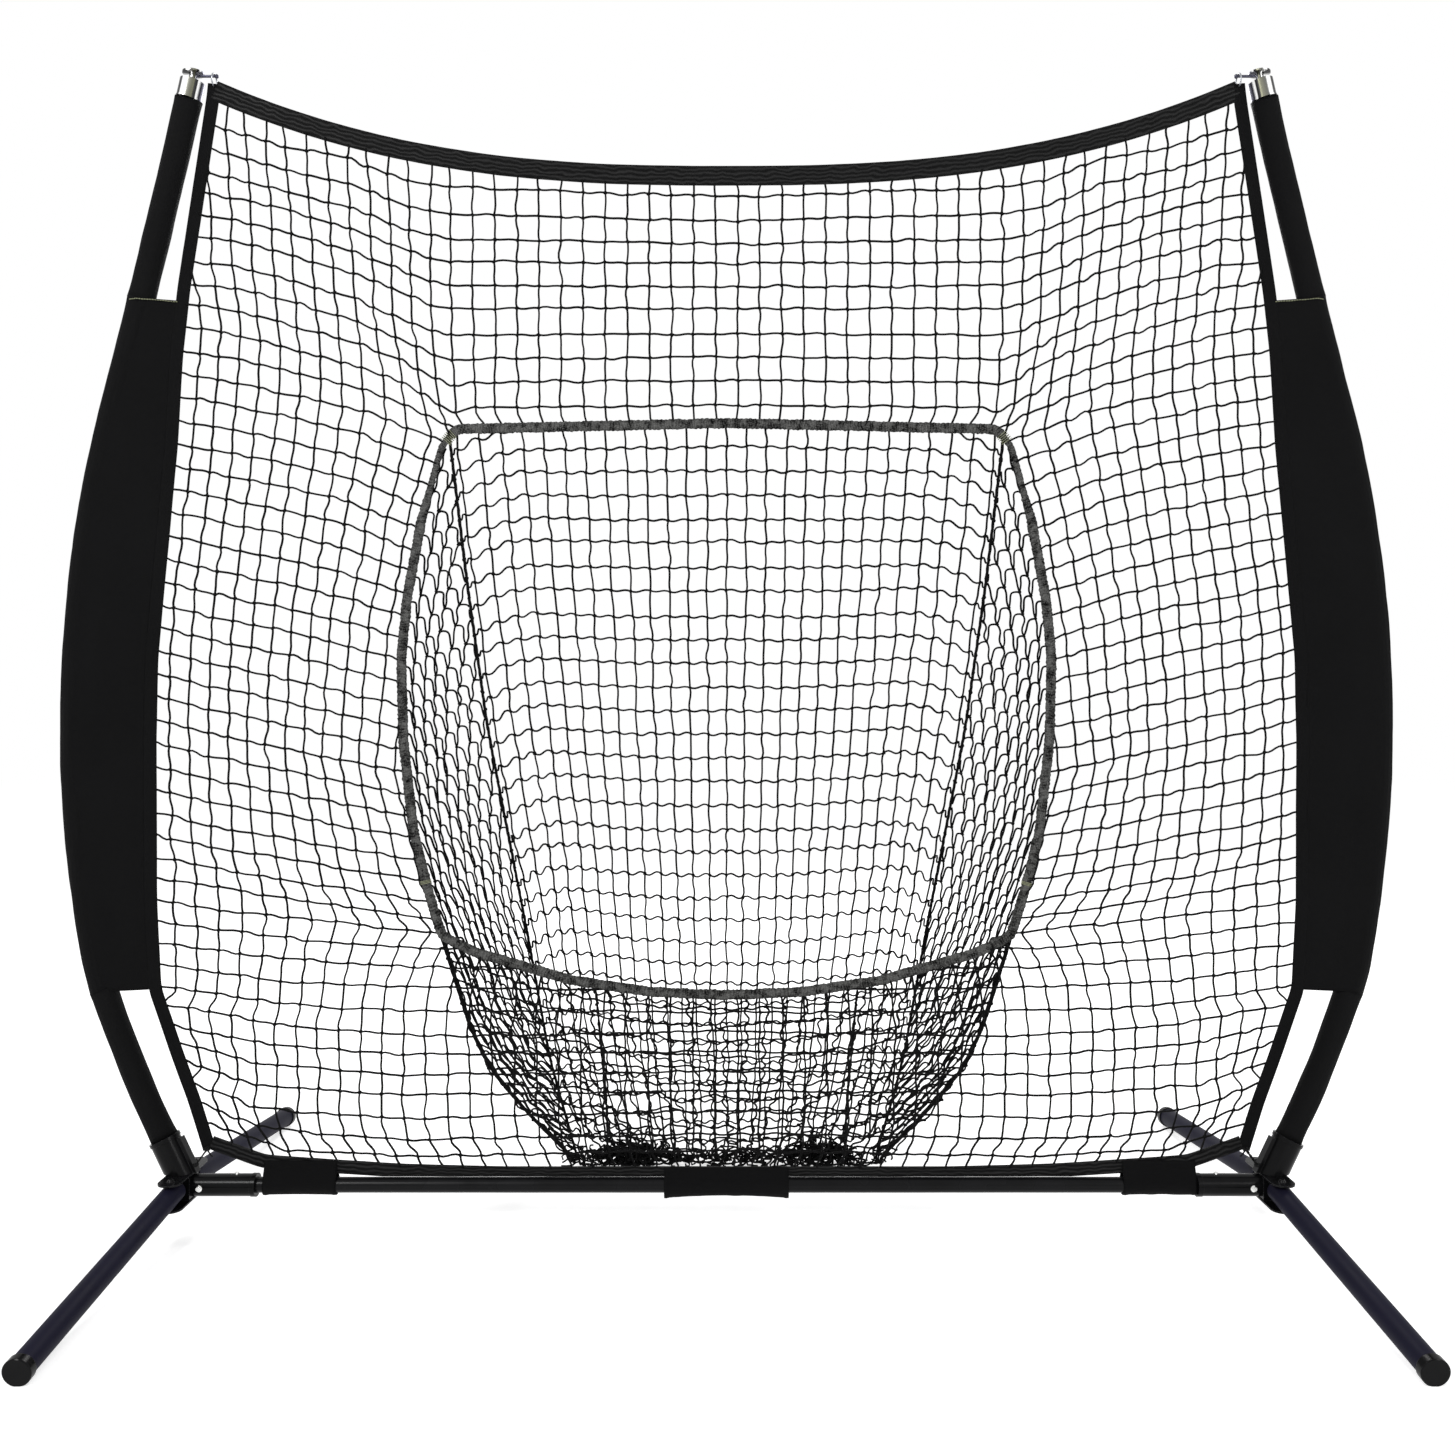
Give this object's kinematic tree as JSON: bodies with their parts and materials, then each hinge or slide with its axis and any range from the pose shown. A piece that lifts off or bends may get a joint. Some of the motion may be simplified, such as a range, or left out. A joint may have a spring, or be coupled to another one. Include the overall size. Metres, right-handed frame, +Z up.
{
  "type": "pitching target net",
  "caption": "Bowed two-pole frame on folding cross legs holding a flat net with a framed rectangular mouth and a ball pocket behind it.",
  "frame": {"origin": "on the ground, under the middle of the net", "axes": "+X along the net to the pitcher's right, +Y away from the pitcher through the net, +Z up"},
  "size_m": [2.4614, 1.1044, 2.134],
  "materials": {
    "black_steel": "gloss",
    "plain_steel": "satin",
    "moulded_black": "gloss",
    "bright_metal": "polished",
    "navy_steel": "satin",
    "pole_grey": "matt",
    "panel_fabric": "woven, matt",
    "rim_binding": "matt",
    "netting": "knotted twine, matt",
    "webbing": "ribbed, matt"
  },
  "bodies": {
    "frame": {"crossbar_left": "black_steel", "crossbar_right": "black_steel", "crossbar_coupler": "plain_steel", "crossbar_socket_left": "moulded_black", "crossbar_socket_right": "moulded_black", "corner_bracket_left": "black_steel", "corner_bracket_right": "black_steel", "snap_spring_left": "plain_steel", "snap_spring_right": "plain_steel", "socket_bolts": "bright_metal", "pivot_bolts": "bright_metal", "tie_hooks": "black_steel", "pole_socket_left": "moulded_black", "pole_socket_right": "moulded_black", "pole_lower_left": "pole_grey", "pole_middle_left": "pole_grey", "pole_upper_left": "pole_grey", "pole_lower_right": "pole_grey", "pole_middle_right": "pole_grey", "pole_upper_right": "pole_grey", "pole_ferrules": "plain_steel", "pole_cap_left": "bright_metal", "pole_cap_right": "bright_metal", "corner_rings": "bright_metal", "upper_sleeve_left": "panel_fabric", "upper_sleeve_right": "panel_fabric", "panel_sleeve_left": "panel_fabric", "panel_sleeve_right": "panel_fabric", "lower_sleeve_left": "panel_fabric", "lower_sleeve_right": "panel_fabric", "side_panel_left": "panel_fabric", "side_panel_right": "panel_fabric", "top_webbing": "webbing", "side_webbing_left": "webbing", "side_webbing_right": "webbing", "bottom_webbing": "webbing", "net_upper": "netting", "net_left": "netting", "net_right": "netting", "net_lower": "netting", "rim_top": "rim_binding", "rim_left": "rim_binding", "rim_right": "rim_binding", "rim_bottom": "rim_binding", "pocket_back": "netting", "pocket_left": "netting", "pocket_right": "netting", "pocket_skirt": "netting", "bar_tabs": "webbing", "corner_ties": "webbing"},
    "front_left_leg": {"leg_front_left": "navy_steel", "foot_cap_front_left": "moulded_black"},
    "front_right_leg": {"leg_front_right": "navy_steel", "foot_cap_front_right": "moulded_black"},
    "rear_left_leg": {"leg_rear_left": "navy_steel", "foot_cap_rear_left": "moulded_black"},
    "rear_right_leg": {"leg_rear_right": "navy_steel", "foot_cap_rear_right": "moulded_black"},
    "left_snap_button": {"snap_button_left": "bright_metal"},
    "right_snap_button": {"snap_button_right": "bright_metal"}
  },
  "joints": [
    {"name": "front_left_leg_fold", "type": "hinge", "parent": "frame", "child": "front_left_leg", "pos_m": [-1.006, -0.052, 0.075], "axis": [0, 0, 1], "range_deg": [0, 90]},
    {"name": "front_right_leg_fold", "type": "hinge", "parent": "frame", "child": "front_right_leg", "pos_m": [1.006, -0.052, 0.075], "axis": [0, 0, -1], "range_deg": [0, 90]},
    {"name": "rear_left_leg_fold", "type": "hinge", "parent": "frame", "child": "rear_left_leg", "pos_m": [-1.006, 0.052, 0.075], "axis": [0, 0, -1], "range_deg": [0, 90]},
    {"name": "rear_right_leg_fold", "type": "hinge", "parent": "frame", "child": "rear_right_leg", "pos_m": [1.006, 0.052, 0.075], "axis": [0, 0, 1], "range_deg": [0, 90]},
    {"name": "left_button_press", "type": "slide", "parent": "frame", "child": "left_snap_button", "axis": [0, 0, -1], "range_m": [0, 0.004], "stiffness_N_per_m": 1500, "springref_m": -0.002, "deforming": ["snap_spring_left"]},
    {"name": "right_button_press", "type": "slide", "parent": "frame", "child": "right_snap_button", "axis": [0, 0, -1], "range_m": [0, 0.004], "stiffness_N_per_m": 1500, "springref_m": -0.002, "deforming": ["snap_spring_right"]}
  ]
}
